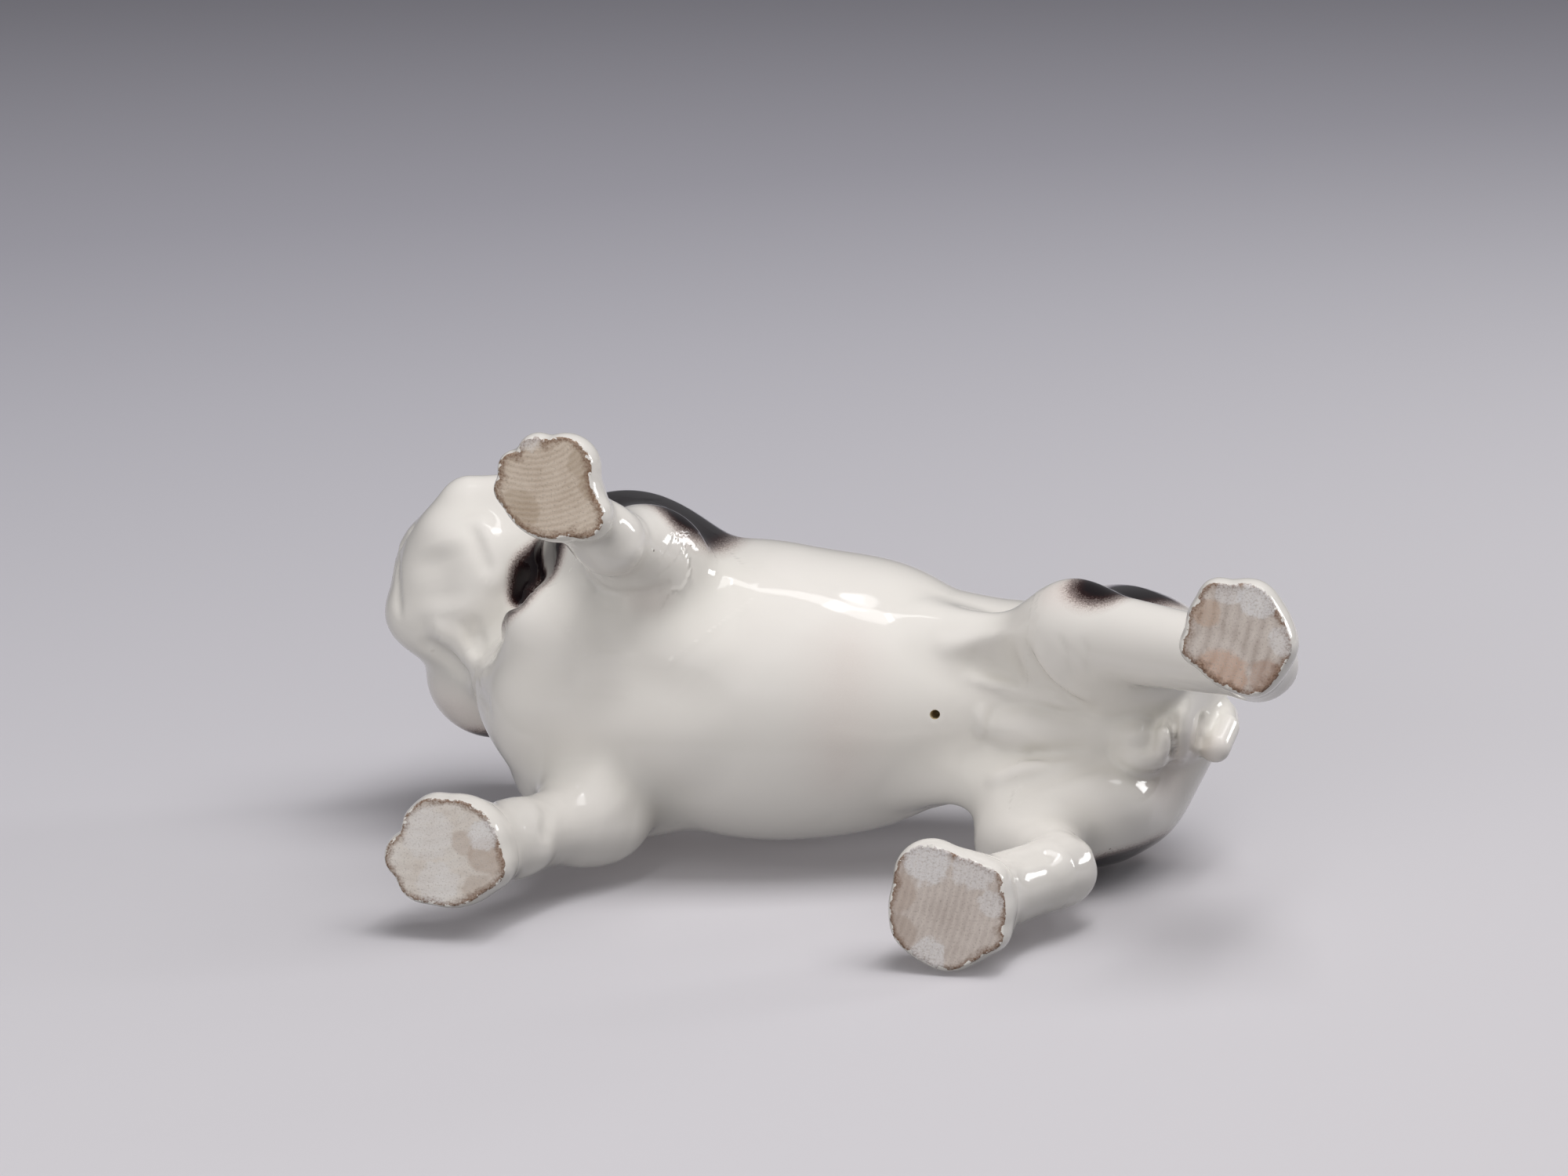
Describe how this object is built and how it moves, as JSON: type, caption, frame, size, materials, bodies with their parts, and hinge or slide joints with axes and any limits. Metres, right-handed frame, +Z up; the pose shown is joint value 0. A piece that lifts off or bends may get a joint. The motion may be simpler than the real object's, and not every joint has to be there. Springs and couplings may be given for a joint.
{
  "type": "dog statuette",
  "caption": "Glazed ceramic bulldog figure standing in mid-stride on flat unglazed soles, head turned to its left, for display on a shelf or table.",
  "frame": {"origin": "on the ground under the middle of the figure's length and width", "axes": "+X from head to tail, +Y to the dog's right, +Z up; the soles stand on Z = 0"},
  "size_m": [0.2188, 0.1024, 0.1253],
  "materials": {
    "trunk_glaze": "clear gloss glaze over white clay, dark patches sprayed on the neck and rump",
    "head_glaze": "clear gloss glaze over white clay, brown sprayed on the cheek, dark painted eyes and nose",
    "ear_glaze": "clear gloss glaze over brown sprayed colour",
    "leg_glaze": "clear gloss glaze over white clay, soles bare and beige",
    "tail_glaze": "clear gloss glaze over white clay"
  },
  "bodies": {
    "root": {"trunk": "trunk_glaze", "head": "head_glaze", "left_ear": "ear_glaze", "right_ear": "ear_glaze", "left_front_leg": "leg_glaze", "right_front_leg": "leg_glaze", "left_hind_leg": "leg_glaze", "right_hind_leg": "leg_glaze", "tail": "tail_glaze"}
  },
  "joints": []
}
